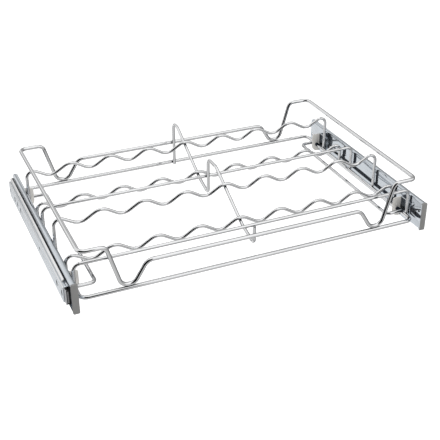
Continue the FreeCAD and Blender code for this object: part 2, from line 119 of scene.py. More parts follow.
# ---------------------------------------------------------------- surfaces and bands
# Each surface: low and high roughness, grain along X, Y and Z, relief and metal share.
CHROME_SURFACE = (0.02, 0.04, (400, 400, 400), 0.01, 1.0)
ZINC_SURFACE = (0.05, 0.09, (300, 6, 300), 0.003, 0.94)
SATIN_SURFACE = (0.20, 0.28, (300, 6, 300), 0.003, 0.62)
CAGE_SURFACE = (0.25, 0.4, (900, 30, 900), 0.08, 1.0)
BALL_SURFACE = (0.05, 0.08, (300, 300, 300), 0.01, 1.0)
BRACKET_SURFACE = (0.35, 0.5, (900, 900, 900), 0.05, 0.0)
LINER_SURFACE = (0.10, 0.16, (500, 500, 500), 0.02, 0.0)
# Gloss and grain of the painted shade on the cabinet members' hole walls.
PAINTED_SHADE_SURFACE = (0.2, 0.35, (500, 100, 500), 0.05, 0.0)
BUMPER_SURFACE = (0.4, 0.55, (2500, 2500, 2500), 0.2, 0.0)
STOP_SURFACE = (0.35, 0.5, (3000, 3000, 3000), 0.2, 0.0)

# How much darker or lighter the clouds are than the finish around them.
PLATE_CLOUD = 0.92
BLACK_CLOUD = 1.5
PLASTIC_CLOUD = 1.6
CLOUD_SCALE = 35.0
CLOUD_DETAIL = 3.0
CLOUD_SPAN = (0.45, 0.75)
GRAIN_DETAIL = 4.0
GRAIN_SPAN = (0.3, 0.7)
RELIEF_DEPTH = 0.0002

# Each band lies on both sides of the rack: how far its middle is from the middle plane, half
# its width, how far its middle is above and below the runners' axis and half its height.
RUNNER_AXIS = 0.023                  # height of that axis
# Painted highlight along the rack channels' rolled lips.
CHANNEL_HIGHLIGHT = (0.2737, 0.0008, 0.0229, 0.0006)
# Painted shade in the gap beside the middle members' ball track.
MIDDLE_PAINTED_SHADE = (0.2756, 0.0011, 0.0180, 0.0010)
# Painted highlight along the middle members' edges.
MIDDLE_HIGHLIGHT = (0.2782, 0.0013, 0.0165, 0.0022)
# Painted dark reflection where the cabinet members' flanges bend to their webs.
CABINET_DARK_REFLECTION = (0.2802, 0.0005, 0.0134, 0.0007)
# Painted highlight along the cabinet members' flanges.
CABINET_HIGHLIGHT = (0.2812, 0.0006, 0.0128, 0.0010)
STOP_BAR = (0.2771, 0.0009, 0.0, 0.0090)
STOP_EDGE = (0.2799, 0.0008, 0.0, 0.0112)
MIRRORED_BAND = (0.14, 0.15, 0.0, 0.0500)   # where metal mirrors the wires and brackets dark

# ---------------------------------------------------------------- studio
FLOOR_HEIGHT = -0.12
FLOOR_SPREAD = 12
FLOOR_GLOW = 0.62
SOFT_LIGHT = 0.55
SENSOR_WIDTH = 36.0
CAMERA_LENS = 72.67
CAMERA_PLACE = (-0.47895, -1.11773, 0.68656)
CAMERA_TURN = (math.radians(90 - 29.896), 0, math.radians(-23.71))

# Each lamp: name, place, width and power.
LAMPS = (
    ("key_lamp", (0.6, -0.9, 1.7), 1.6, 14),
    ("fill_lamp", (-1.6, 0.6, 1.4), 1.8, 9),
)

# What metal sees round it: a dim room with soft round patches, laid one over another. Each
# patch: azimuth from the front, elevation, outer and inner reach in degrees, and brightness.
STUDIO_DIM = 0.30
STUDIO_PATCHES = (
    (-60, 84, 44, 26, 1.15),
    (-60, -70, 66, 50, 0.61),
    (30, 42, 62, 24, 0.97),
    (25, -32, 42, 18, 0.50),
    (-140, 30, 60, 34, 0.80),
    (-158, -32, 36, 26, 0.80),
    (140, 5, 45, 25, 0.33),
    (157, 2, 17, 10, 0.70),
    (-153, 0, 15, 9, 0.28),
    (95, -25, 42, 22, 0.22),
    (47, -4, 22, 11, 0.36),
    (-54, 14, 34, 31, 0.0),
    (-50, 38, 30, 27, 0.0),
    (-26, 24, 37, 34, 0.0),
    (-12, 12, 24, 21, 0.0),
    (-4, -1, 14, 11, 0.0),
)


# ---------------------------------------------------------------- properties
def length(name, default, description):
    return FloatProperty(name=name, description=description, default=default,
                         unit="LENGTH", precision=4)


def colour(name, default, description):
    return FloatVectorProperty(name=name, description=description, default=default,
                               size=3, min=0.0, max=1.0, subtype="COLOR")


class ShoeRackSizes(bpy.types.PropertyGroup):
    thick_wire: length("Thick wire", 0.006, "Diameter of the base ring and the gallery")
    carrier_wire: length("Carrier wire", 0.0055, "Diameter of the carrier wires")
    thin_wire: length("Thin wire", 0.005, "Diameter of the shoe wires and the divider")
    base_half_width: length("Base half width", 0.2596, "Middle plane to the base ring's side rail")
    gallery_half_width: length("Gallery half width", 0.2575, "Middle plane to the gallery's side rail")
    leg_half_width: length("Leg half width", 0.2621, "Middle plane to the wires' legs")
    leg_foot: length("Leg foot", 0.0148, "Height at which the legs stand in the base ring's crown")
    ring_front: length("Ring front", -0.1624, "Place of both rings' front runs")
    ring_back: length("Ring back", 0.1729, "Place of both rings' back runs")
    ring_corner: length("Ring corner", 0.010, "Bend radius at the rings' corners")
    base_height: length("Base height", 0.013, "Height of the base ring")
    gallery_top: length("Gallery top", 0.0838, "Height of the gallery's side rails")
    gallery_low: length("Gallery low run", 0.0495, "Height of the gallery's middle runs")
    gallery_low_end: length("Low run's end", 0.1652, "Middle plane to the end of the gallery's low run")
    gallery_seat_start: length("Seat's start", 0.1841, "Middle plane to where the gallery meets the base")
    gallery_seat_end: length("Seat's end", 0.2028, "Middle plane to where the gallery leaves the base")
    gallery_rise_end: length("Rise's end", 0.2213, "Middle plane to where the gallery reaches its top")
    gallery_low_bend: length("Low run's bend", 0.015, "Bend radius at the ends of the gallery's low run")
    gallery_seat_bend: length("Seat's bend", 0.013, "Bend radius at the ends of the gallery's seats")
    gallery_rise_bend: length("Rise's bend", 0.010, "Bend radius where the gallery reaches its top")
    wave_pitch: length("Wave pitch", 0.064, "Crest to crest along a shoe wire")
    wave_amplitude: length("Wave amplitude", 0.0063, "Half the height of a shoe wire's wave")
    wave_bend: length("Wave bend", 0.020, "Bend radius at the crests")
    hump_bend: length("Hump bend", 0.010, "Bend radius at the end humps")
    hump_drop: length("Hump drop", 0.002, "How much lower the end humps are than the crests")
    heel_height: length("Heel wire height", 0.0675, "Mid-height of the heel wires")
    sole_height: length("Sole wire height", 0.0388, "Mid-height of the sole wires")
    toe_height: length("Toe stop height", 0.0547, "Height of the toe stops")
    divider_top: length("Divider top", 0.0864, "Height of the divider's peaks")
    divider_foot: length("Divider foot", 0.011, "Height of the divider's lower end")
    divider_valley: length("Divider valley", 0.026, "Height of the divider's valleys")
    divider_tip: length("Divider tip", 0.055, "Height of the divider's front end")
    divider_knee: length("Divider knee", 0.006, "How far the divider's slope runs past a sole wire")
    peak_bend: length("Peak bend", 0.009, "Bend radius at the back of the divider's peaks")
    brow_bend: length("Brow bend", 0.014, "Bend radius at the front of the divider's peaks")
    knee_bend: length("Knee bend", 0.040, "Bend radius at the foot of the divider's slopes")
    valley_bend: length("Valley bend", 0.006, "Bend radius in the divider's valleys")
    carrier_half_width: length("Carrier half width", 0.231, "Middle plane to the carriers' long runs")
    carrier_height: length("Carrier height", 0.0157, "Height of the carrier wires")
    carrier_bend: length("Carrier bend", 0.008, "Bend radius of the carrier wires")
    ball: length("Ball", 0.0035, "Diameter of the runner balls")
    half_waves: IntProperty(name="Half waves", default=7, min=1, max=12,
                            description="Half waves from the middle crest to the last trough")
    wire_sides: IntProperty(name="Wire sides", default=8, min=2, max=16,
                            description="Roundness of the wires")


class ShoeRackFinishes(bpy.types.PropertyGroup):
    chrome: colour("Chrome", (0.90, 0.905, 0.915), "Bright chrome plate on the wires")
    zinc: colour("Bright zinc", (0.76, 0.81, 0.86), "Zinc plate on the runner members")
    cage: colour("Cage zinc", (0.45, 0.46, 0.47), "Duller plate on the ball cages")
    ball_steel: colour("Ball steel", (0.78, 0.78, 0.79), "Polished bearing steel")
    bracket: colour("Bracket paint", (0.93, 0.91, 0.87), "Warm, pale coat on the brackets")
    bumper: colour("Bumper grey", (0.29, 0.29, 0.285), "Grey finish of the bumpers")
    stop: colour("Stop black", (0.012, 0.012, 0.013), "Moulded black plastic")
    insert: colour("Stop bar grey", (0.34, 0.34, 0.35), "Grey bar down the stops' faces")
    edge: colour("Stop edge", (0.62, 0.63, 0.65), "Pale outer edge of the stops' faces")
    # Pure white base colour for the painted highlights along the runner members' edges.
    painted_highlight: colour("Painted highlight", (1.0, 1.0, 1.0), "Painted highlights along the runner members' edges")
    # Greyer base colour: a painted dark reflection where the cabinet members' flanges bend.
    painted_dark_reflection: colour("Painted dark reflection", (0.60, 0.64, 0.68), "Painted dark reflection where the cabinet members' flanges bend")
    liner: colour("Rivet black", (0.030, 0.030, 0.034), "Blackened rivet heads")
    # Near-black base colour: painted shade in the ball tracks' gap and on the holes' walls.
    painted_shade: colour("Painted shade", (0.016, 0.016, 0.018), "Painted shade in the ball tracks' gap and on the holes' walls")
    mirrored: colour("Mirrored wire", (0.022, 0.030, 0.042), "Wires and brackets as metal mirrors them")
    floor: colour("Floor", (0.80, 0.80, 0.80), "Plain pale floor")


def finishes():
    return bpy.context.scene.shoe_rack_finishes


# ---------------------------------------------------------------- node helpers
def plain_group(name, inputs, outputs):
    group = bpy.data.node_groups.new(name, "ShaderNodeTree")
    for label, kind, default in inputs:
        socket = group.interface.new_socket(label, in_out="INPUT", socket_type=kind)
        socket.default_value = default
    for label, kind in outputs:
        group.interface.new_socket(label, in_out="OUTPUT", socket_type=kind)
    return group, group.nodes.new("NodeGroupInput"), group.nodes.new("NodeGroupOutput")


def add_math(tree, operation, *sources):
    """A math node fed by sockets and plain numbers."""
    node = tree.nodes.new("ShaderNodeMath")
    node.operation = operation
    for socket, source in zip(node.inputs, sources):
        if isinstance(source, float):
            socket.default_value = source
        else:
            tree.links.new(source, socket)
    return node.outputs[0]


def add_noise(tree, vector, scale, detail):
    noise = tree.nodes.new("ShaderNodeTexNoise")
    noise.inputs["Scale"].default_value = scale
    noise.inputs["Detail"].default_value = detail
    tree.links.new(vector, noise.inputs["Vector"])
    return noise.outputs["Fac"]


def add_range(tree, value, span):
    """A node that stretches the span of a value to its own limits."""
    node = tree.nodes.new("ShaderNodeMapRange")
    node.inputs["From Min"].default_value, node.inputs["From Max"].default_value = span
    tree.links.new(value, node.inputs["Value"])
    return node


def add_colour_mix(tree, factor, first):
    mix = tree.nodes.new("ShaderNodeMix")
    mix.data_type = "RGBA"
    tree.links.new(factor, mix.inputs["Factor"])
    tree.links.new(first, mix.inputs["A"])
    return mix


def show_by_ray(tree, plain, glossy, transmitted, seen):
    """The plain shader, with others for what metal mirrors, glass passes and the camera sees."""
    path = tree.nodes.new("ShaderNodeLightPath")
    shown = plain.outputs[0]
    rays = ("Is Glossy Ray", glossy), ("Is Transmission Ray", transmitted), ("Is Camera Ray", seen)
    for ray, shader in rays:
        pick = tree.nodes.new("ShaderNodeMixShader")
        tree.links.new(path.outputs[ray], pick.inputs["Fac"])
        tree.links.new(shown, pick.inputs[1])
        tree.links.new(shader.outputs[0], pick.inputs[2])
        shown = pick.outputs[0]
    return shown


# ---------------------------------------------------------------- finishes
def plating_group():
    """Plated metal: a faint cloudiness in its colour, gloss and surface, drawn out along one axis."""
    if "Plating" in bpy.data.node_groups:
        return bpy.data.node_groups["Plating"]
    group, given, result = plain_group(
        "Plating",
        [("Colour", "NodeSocketColor", (0.8, 0.8, 0.8, 1)),
         ("Cloud Colour", "NodeSocketColor", (0.6, 0.6, 0.6, 1)),
         ("Low Roughness", "NodeSocketFloat", 0.1), ("High Roughness", "NodeSocketFloat", 0.2),
         ("Grain", "NodeSocketVector", (200, 20, 200)), ("Relief", "NodeSocketFloat", 0.05)],
        [("Colour", "NodeSocketColor"), ("Roughness", "NodeSocketFloat"),
         ("Normal", "NodeSocketVector")])
    nodes, links = group.nodes, group.links
    place = nodes.new("ShaderNodeTexCoord").outputs["Object"]
    stretch = nodes.new("ShaderNodeVectorMath")
    stretch.operation = "MULTIPLY"
    links.new(place, stretch.inputs[0])
    links.new(given.outputs["Grain"], stretch.inputs[1])
    grain = add_noise(group, stretch.outputs[0], 1.0, GRAIN_DETAIL)
    cloud = add_noise(group, place, CLOUD_SCALE, CLOUD_DETAIL)
    tint = add_range(group, cloud, CLOUD_SPAN)
    mix = add_colour_mix(group, tint.outputs["Result"], given.outputs["Colour"])
    links.new(given.outputs["Cloud Colour"], mix.inputs["B"])
    rough = add_range(group, grain, GRAIN_SPAN)
    links.new(given.outputs["Low Roughness"], rough.inputs["To Min"])
    links.new(given.outputs["High Roughness"], rough.inputs["To Max"])
    relief = nodes.new("ShaderNodeBump")
    relief.inputs["Distance"].default_value = RELIEF_DEPTH
    links.new(given.outputs["Relief"], relief.inputs["Strength"])
    links.new(grain, relief.inputs["Height"])
    links.new(mix.outputs["Result"], result.inputs["Colour"])
    links.new(rough.outputs["Result"], result.inputs["Roughness"])
    links.new(relief.outputs["Normal"], result.inputs["Normal"])
    return group


def band_group():
    """A mask of what lies between two distances from the middle plane and from the runners' axis."""
    if "Band" in bpy.data.node_groups:
        return bpy.data.node_groups["Band"]
    group, given, result = plain_group(
        "Band",
        [("Reach", "NodeSocketFloat", 0.275), ("Half Width", "NodeSocketFloat", 0.001),
         ("Rise", "NodeSocketFloat", 0.018), ("Half Height", "NodeSocketFloat", 0.001)],
        [("Mask", "NodeSocketFloat")])
    place = group.nodes.new("ShaderNodeTexCoord")
    parts = group.nodes.new("ShaderNodeSeparateXYZ")
    group.links.new(place.outputs["Object"], parts.inputs[0])
    reach = add_math(group, "ABSOLUTE", parts.outputs["X"])
    rise = add_math(group, "ABSOLUTE", add_math(group, "SUBTRACT", parts.outputs["Z"], RUNNER_AXIS))
    across = add_math(group, "COMPARE", reach, given.outputs["Reach"], given.outputs["Half Width"])
    upward = add_math(group, "COMPARE", rise, given.outputs["Rise"], given.outputs["Half Height"])
    group.links.new(add_math(group, "MULTIPLY", across, upward), result.inputs["Mask"])
    return group


def add_band(tree, place):
    """The mask of a band at the given place."""
    band = tree.nodes.new("ShaderNodeGroup")
    band.node_tree = band_group()
    for socket, value in zip(band.inputs, place):
        socket.default_value = value
    return band.outputs["Mask"]


def lay_over(material, tone, mask):
    """Lays a tone over the base colour where the mask says so."""
    tree = material.node_tree
    base = tree.nodes["Principled BSDF"].inputs["Base Color"]
    mix = add_colour_mix(tree, mask, base.links[0].from_socket)
    mix.inputs["B"].default_value = (*tone, 1)
    tree.links.new(mix.outputs["Result"], base)


def plated(name, tone, surface, cloud=PLATE_CLOUD, bands=(), dimmed=False):
    """A finished material whose colour, gloss and relief come from the plating group, with
    bands of other tones. Its image in other metal can be dimmed."""
    if name in bpy.data.materials:
        return bpy.data.materials[name]
    low, high, grain, relief, metallic = surface
    material = bpy.data.materials.new(name)
    material.use_nodes = True
    tree = material.node_tree
    shader = tree.nodes["Principled BSDF"]
    shader.inputs["Metallic"].default_value = metallic
    coat = tree.nodes.new("ShaderNodeGroup")
    coat.node_tree = plating_group()
    coat.inputs["Colour"].default_value = (*tone, 1)
    coat.inputs["Cloud Colour"].default_value = (*[part * cloud for part in tone], 1)
    coat.inputs["Low Roughness"].default_value = low
    coat.inputs["High Roughness"].default_value = high
    coat.inputs["Grain"].default_value = grain
    coat.inputs["Relief"].default_value = relief
    tree.links.new(coat.outputs["Colour"], shader.inputs["Base Color"])
    tree.links.new(coat.outputs["Roughness"], shader.inputs["Roughness"])
    tree.links.new(coat.outputs["Normal"], shader.inputs["Normal"])
    for band_tone, place in bands:
        lay_over(material, band_tone, add_band(tree, place))
    if dimmed:
        mirrored = tree.nodes.new("ShaderNodeLightPath").outputs["Is Glossy Ray"]
        mask = add_math(tree, "MULTIPLY", mirrored, add_band(tree, MIRRORED_BAND))
        lay_over(material, finishes().mirrored, mask)
    return material


def chrome():
    return plated("Chrome plate", finishes().chrome, CHROME_SURFACE, dimmed=True)


def carrier_chrome():
    return plated("Carrier chrome", finishes().chrome, CHROME_SURFACE)


def bright_zinc():
    return plated("Bright zinc plate", finishes().zinc, ZINC_SURFACE)


def channel_zinc():
    # Painted highlight along the channel's rolled lip.
    bands = [(finishes().painted_highlight, CHANNEL_HIGHLIGHT)]
    return plated("Rolled channel zinc", finishes().zinc, ZINC_SURFACE, bands=bands)


def middle_zinc():
    # Painted highlight along the edge and painted shade in the gap beside the track.
    bands = [(finishes().painted_highlight, MIDDLE_HIGHLIGHT), (finishes().painted_shade, MIDDLE_PAINTED_SHADE)]
    return plated("Middle zinc with painted shade", finishes().zinc, SATIN_SURFACE, bands=bands)


def cabinet_zinc():
    # Painted highlight along the flange and painted dark reflection where it bends.
    bands = [(finishes().painted_highlight, CABINET_HIGHLIGHT), (finishes().painted_dark_reflection, CABINET_DARK_REFLECTION)]
    return plated("Rolled cabinet zinc", finishes().zinc, SATIN_SURFACE, bands=bands)


def cage_zinc():
    return plated("Cage zinc plate", finishes().cage, CAGE_SURFACE)


def ball_steel():
    return plated("Bearing steel", finishes().ball_steel, BALL_SURFACE)


def bracket_paint():
    return plated("Bracket paint", finishes().bracket, BRACKET_SURFACE, dimmed=True)


def black_liner():
    return plated("Black liner", finishes().liner, LINER_SURFACE, BLACK_CLOUD)


# Painted shade on the walls of the cabinet members' holes and slots.
def painted_shade_film():
    return plated("Painted shade film", finishes().painted_shade, PAINTED_SHADE_SURFACE, BLACK_CLOUD)


def bumper_paint():
    return plated("Bumper grey", finishes().bumper, BUMPER_SURFACE)


def stop_plastic():
    bands = [(finishes().insert, STOP_BAR), (finishes().edge, STOP_EDGE)]
    return plated("Stop plastic", finishes().stop, STOP_SURFACE, PLASTIC_CLOUD, bands)


# ---------------------------------------------------------------- workshop helpers
def deselect():
    bpy.ops.object.select_all(action="DESELECT")


def choose_points(points, reach=NEAR):
    """In edit mode, selects the vertices that lie at any of the points."""
    mesh = bmesh.from_edit_mesh(bpy.context.object.data)
    for vertex in mesh.verts:
        vertex.select_set(any((vertex.co - point).length < reach for point in points))
    mesh.select_flush(True)
    bmesh.update_edit_mesh(bpy.context.object.data)


def finish_piece(name, material, body, slot, *nodes):
    """Names the active piece, smooths it, gives it its finish and its place on a body."""
    piece = bpy.context.object
    piece.name = name
    piece.data.name = name
    bpy.ops.object.transform_apply(location=True, rotation=True, scale=True)
    bpy.ops.object.shade_smooth_by_angle(angle=SMOOTH_ANGLE)
    piece.data.materials.clear()
    piece.data.materials.append(material)
    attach(piece, body)
    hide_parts(*nodes)
    deselect()
    return piece


def draw_path(corners, closed):
    """A line of vertices from corner to corner, each extruded from the last."""
    deselect()
    bpy.ops.mesh.primitive_plane_add(size=SEED_SIZE, location=corners[0])
    bpy.ops.object.transform_apply(location=True)
    bpy.ops.object.mode_set(mode="EDIT")
    bpy.ops.mesh.select_mode(type="VERT")
    bpy.ops.mesh.merge(type="CENTER")
    for before, after in zip(corners, corners[1:]):
        bpy.ops.mesh.extrude_region_move(TRANSFORM_OT_translate={"value": after - before})
    if closed:
        choose_points([corners[0], corners[-1]])
        bpy.ops.mesh.edge_face_add()


def round_corners(corners, bends, closed):
    """Rounds each corner of the path to its bend radius with a vertex bevel."""
    count = len(corners)
    inner = range(count) if closed else range(1, count - 1)
    groups = {}
    for index, radius in zip(inner, bends):
        back = (corners[index - 1] - corners[index]).normalized()
        onward = (corners[(index + 1) % count] - corners[index]).normalized()
        half = back.angle(onward) / 2
        key = (round(radius / math.tan(half), 6), round(half, 4))
        groups.setdefault(key, []).append(corners[index])
    for (reach, half), places in groups.items():
        choose_points(places)
        shape = (1 - 1 / (2 * (1 + math.sin(half)))) ** 2
        bpy.ops.mesh.bevel(offset_type="OFFSET", offset=reach, segments=BEND_SEGMENTS,
                           profile=shape, affect="VERTICES")


def bend_wire(corners, bends, diameter, closed=False):
    """One wire: a path with rounded corners, drawn out to its diameter and capped."""
    corners = [Vector(corner) for corner in corners]
    draw_path(corners, closed)
    round_corners(corners, bends, closed)
    bpy.ops.object.mode_set(mode="OBJECT")
    bpy.ops.object.convert(target="CURVE")
    curve = bpy.context.object.data
    curve.bevel_depth = diameter / 2
    curve.bevel_resolution = bpy.context.scene.shoe_rack_sizes.wire_sides
    curve.use_fill_caps = True
    bpy.ops.object.convert(target="MESH")
    bpy.ops.object.mode_set(mode="EDIT")
    bpy.ops.mesh.select_all(action="SELECT")
    bpy.ops.mesh.remove_doubles(threshold=WIRE_MERGE)
    bpy.ops.mesh.normals_make_consistent(inside=False)
    bpy.ops.object.mode_set(mode="OBJECT")


def finish_wire(name, node, material):
    """A wire of the rack in its finish, in place of its CAD node."""
    finish_piece(name, material, "rack", "rack_chrome", node)


def mirrored_run(half):
    """A left-to-right run of (x, z) places from its right half."""
    return [(-x, z) for x, z in reversed(half)] + list(half)


def refine_node(node, name, material, slot, edge=0.0):
    """A piece drawn over a CAD node: its faces joined, its edges eased and its curves smoothed."""
    source = frame["nodes"][node]
    body = body_of(source)[0]
    deselect()
    source.select_set(True)
    bpy.context.view_layer.objects.active = source
    bpy.ops.object.duplicate()
    copy = bpy.context.object
    bpy.ops.object.parent_clear(type="CLEAR_KEEP_TRANSFORM")
    for key in list(copy.keys()):
        if key.startswith("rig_"):
            del copy[key]
    bpy.ops.object.mode_set(mode="EDIT")
    bpy.ops.mesh.select_all(action="SELECT")
    bpy.ops.mesh.remove_doubles(threshold=NODE_MERGE)
    bpy.ops.mesh.dissolve_limited(angle_limit=FLAT_ANGLE)
    bpy.ops.object.mode_set(mode="OBJECT")
    if edge:
        bevel = copy.modifiers.new("Eased edges", "BEVEL")
        bevel.width = edge
        bevel.segments = EDGE_SEGMENTS
        bevel.limit_method = "ANGLE"
        bevel.angle_limit = EDGE_ANGLE
        bevel.use_clamp_overlap = True
        bpy.ops.object.modifier_apply(modifier=bevel.name)
    return finish_piece(name, material, body, slot, node)


def finish_faces(piece, material, chosen):
    """Gives the chosen faces a second finish."""
    piece.data.materials.append(material)
    for face in piece.data.polygons:
        if chosen(face):
            face.material_index = 1


def is_flange(face):
    """Whether a bracket's face belongs to the flange on the runner."""
    return abs(face.center.x) > FLANGE_REACH


def is_tab(face):
    """Whether a bumper's face belongs to its riveted tab."""
    return face.center.y > BUMPER_BACK


# Picks the faces that get painted shade.
def walls_hole(face):
    """Whether a cabinet member's face lines one of its holes or slots."""
    middle = face.center
    near_axis = abs(middle.z - RUNNER_AXIS) < HOLE_HALF_HEIGHT
    in_web = HOLE_SPAN[0] < middle.y < HOLE_SPAN[1] and abs(middle.x) > CABINET_WEB_REACH
    return near_axis and in_web and abs(face.normal.x) < WALL_LEAN


def node_y(node):
    """Where a node's middle lies between front and back."""
    low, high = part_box(node)
    return (low[1] + high[1]) / 2


def wave_run(size, height):
    """(x, z) corners and bend radii of a shoe wire: waves, an end hump and a leg on each side."""
    half_pitch = size.wave_pitch / 2
    slope = FIRST_SLOPE
    for _ in range(SLOPE_ROUNDS):
        apex = size.wave_amplitude + size.wave_bend * (1 / math.cos(slope) - 1)
        slope = math.atan2(2 * apex, half_pitch)
    half = [(index * half_pitch, height + apex * (-1) ** index)
            for index in range(1, size.half_waves + 1)]
    last_x, last_z = half[-1]
    across = size.leg_half_width - size.hump_bend - last_x
    rise = height + size.wave_amplitude - size.hump_drop - size.hump_bend - last_z
    climb = math.atan2(rise, across) + math.asin(size.hump_bend / math.hypot(across, rise))
    half.append((size.leg_half_width, last_z + (size.leg_half_width - last_x) * math.tan(climb)))
    half.append((size.leg_half_width, size.leg_foot))
    run = [(-x, z) for x, z in reversed(half)] + [(0.0, height + apex)] + half
    bends = [size.hump_bend] + [size.wave_bend] * (2 * size.half_waves + 1) + [size.hump_bend]
    return run, bends


def ball_middles(node, diameter):
    """The middles of a node's separate balls, from its loose parts."""
    points = [vertex.co.copy() for vertex in frame["nodes"][node].data.vertices]
    reach = diameter * BALL_REACH
    middles = []
    while points:
        seed = points[0]
        near = [point for point in points if (point - seed).length < reach]
        points = [point for point in points if (point - seed).length >= reach]
        low = [min(point[axis] for point in near) for axis in range(3)]
        high = [max(point[axis] for point in near) for axis in range(3)]
        middles.append(Vector([(a + b) / 2 for a, b in zip(low, high)]))
    return middles


# ---------------------------------------------------------------- operators
class SHOERACK_OT_base_ring(bpy.types.Operator):
    """Bend the base ring that everything stands on"""
    bl_idname = "shoe_rack.base_ring"
    bl_label = "Base Ring"
    bl_options = {"REGISTER", "UNDO"}

    def execute(self, context):
        size = context.scene.shoe_rack_sizes
        half = [(size.base_half_width, size.ring_back), (size.base_half_width, size.ring_front)]
        corners = half + [(-x, y) for x, y in reversed(half)]
        bend_wire([(x, y, size.base_height) for x, y in corners],
                  [size.ring_corner] * len(corners), size.thick_wire, closed=True)
        finish_wire("base_ring_wire", "base_ring", chrome())
        return {"FINISHED"}


class SHOERACK_OT_gallery(bpy.types.Operator):
    """Bend the gallery ring, which drops to the base ring near each corner"""
    bl_idname = "shoe_rack.gallery"
    bl_label = "Gallery"
    bl_options = {"REGISTER", "UNDO"}

    def execute(self, context):
        size = context.scene.shoe_rack_sizes
        seat = size.base_height + size.thick_wire
        run = mirrored_run([
            (size.gallery_low_end, size.gallery_low),
            (size.gallery_seat_start, seat),
            (size.gallery_seat_end, seat),
            (size.gallery_rise_end, size.gallery_top),
            (size.gallery_half_width, size.gallery_top),
        ])
        half_bends = [size.gallery_low_bend, size.gallery_seat_bend, size.gallery_seat_bend,
                      size.gallery_rise_bend, size.ring_corner]
        bends = half_bends[::-1] + half_bends
        corners = [(x, size.ring_front, z) for x, z in run]
        corners += [(x, size.ring_back, z) for x, z in reversed(run)]
        bend_wire(corners, bends * 2, size.thick_wire, closed=True)
        finish_wire("gallery_wire", "gallery_ring", chrome())
        return {"FINISHED"}


class SHOERACK_OT_shoe_wires(bpy.types.Operator):
    """Bend the wavy heel and sole wires of both rows"""
    bl_idname = "shoe_rack.shoe_wires"
    bl_label = "Shoe Wires"
    bl_options = {"REGISTER", "UNDO"}

    def execute(self, context):
        size = context.scene.shoe_rack_sizes
        for kind, height in (("heel_wire", size.heel_height), ("sole_wire", size.sole_height)):
            run, bends = wave_run(size, height)
            for row in ROWS:
                node = f"{kind}_{row}"
                y = node_y(node)
                bend_wire([(x, y, z) for x, z in run], bends, size.thin_wire)
                finish_wire(f"{kind}_wave_{row}", node, chrome())
        return {"FINISHED"}


class SHOERACK_OT_toe_stops(bpy.types.Operator):
    """Bend the straight toe stops of both rows"""
    bl_idname = "shoe_rack.toe_stops"
    bl_label = "Toe Stops"
    bl_options = {"REGISTER", "UNDO"}

    def execute(self, context):
        size = context.scene.shoe_rack_sizes
        run = mirrored_run([(size.leg_half_width, size.toe_height),
                            (size.leg_half_width, size.leg_foot)])
        for row in ROWS:
            node = f"toe_stop_{row}"
            y = node_y(node)
            bend_wire([(x, y, z) for x, z in run], [size.hump_bend] * 2, size.thin_wire)
            finish_wire(f"toe_stop_wire_{row}", node, chrome())
        return {"FINISHED"}


class SHOERACK_OT_divider(bpy.types.Operator):
    """Bend the divider that runs under the wavy wires from the back to the front"""
    bl_idname = "shoe_rack.divider"
    bl_label = "Divider"
    bl_options = {"REGISTER", "UNDO"}

    def execute(self, context):
        size = context.scene.shoe_rack_sizes
        heels = [node_y(f"heel_wire_{row}") for row in ROWS]
        soles = [node_y(f"sole_wire_{row}") for row in ROWS]
        stops = [node_y(f"toe_stop_{row}") for row in ROWS]
        fall = (size.heel_height - size.sole_height) / (heels[0] - soles[0])
        below = size.wave_amplitude - size.thin_wire * math.hypot(1, fall)
        upright = size.ring_back - (size.thick_wire + size.thin_wire) / 2
        run = [(upright, size.divider_foot)]
        for heel, sole, stop in zip(heels, soles, stops):
            brow = heel + (size.divider_top - size.heel_height - below) / fall
            knee = size.divider_knee
            run += [(upright, size.divider_top), (brow, size.divider_top)]
            run += [(sole - knee, size.sole_height + below - knee * fall)]
            upright = stop - size.thin_wire
            run += [(upright, size.divider_valley)]
        run += [(upright, size.divider_tip)]
        bends = [size.peak_bend, size.brow_bend, size.knee_bend, size.valley_bend] * len(ROWS)
        bend_wire([(0.0, y, z) for y, z in run], bends, size.thin_wire)
        finish_wire("divider_bent_wire", "divider_wire", chrome())
        return {"FINISHED"}


class SHOERACK_OT_carriers(bpy.types.Operator):
    """Bend the flat U wires that stiffen the base ring's sides"""
    bl_idname = "shoe_rack.carriers"
    bl_label = "Carrier Wires"
    bl_options = {"REGISTER", "UNDO"}

    def execute(self, context):
        size = context.scene.shoe_rack_sizes
        end = size.base_half_width - size.thick_wire * CARRIER_BUTT
        for name, side in SIDES.items():
            node = f"carrier_wire_{name}"
            low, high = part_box(node)
            back, front = high[1] - size.carrier_wire / 2, low[1] + size.carrier_wire / 2
            run = [(end, back), (size.carrier_half_width, back),
                   (size.carrier_half_width, front), (end, front)]
            bend_wire([(side * x, y, size.carrier_height) for x, y in run],
                      [size.carrier_bend] * 2, size.carrier_wire)
            finish_wire(f"carrier_bent_wire_{name}", node, carrier_chrome())
        return {"FINISHED"}


class SHOERACK_OT_runner_members(bpy.types.Operator):
    """Ease and plate the three rolled members of each runner"""
    bl_idname = "shoe_rack.runner_members"
    bl_label = "Runner Members"
    bl_options = {"REGISTER", "UNDO"}

    def execute(self, context):
        members = {"rack_channel": channel_zinc(), "middle_member": middle_zinc(),
                   "cabinet_member": cabinet_zinc()}
        for name in SIDES:
            for kind, finish in members.items():
                piece = refine_node(f"{kind}_{name}", f"{kind}_rolled_{name}", finish,
                                    "runner_zinc", RUNNER_EASE)
                if kind == "cabinet_member":
                    # The walls of its holes and slots get painted shade.
                    finish_faces(piece, painted_shade_film(), walls_hole)
        return {"FINISHED"}


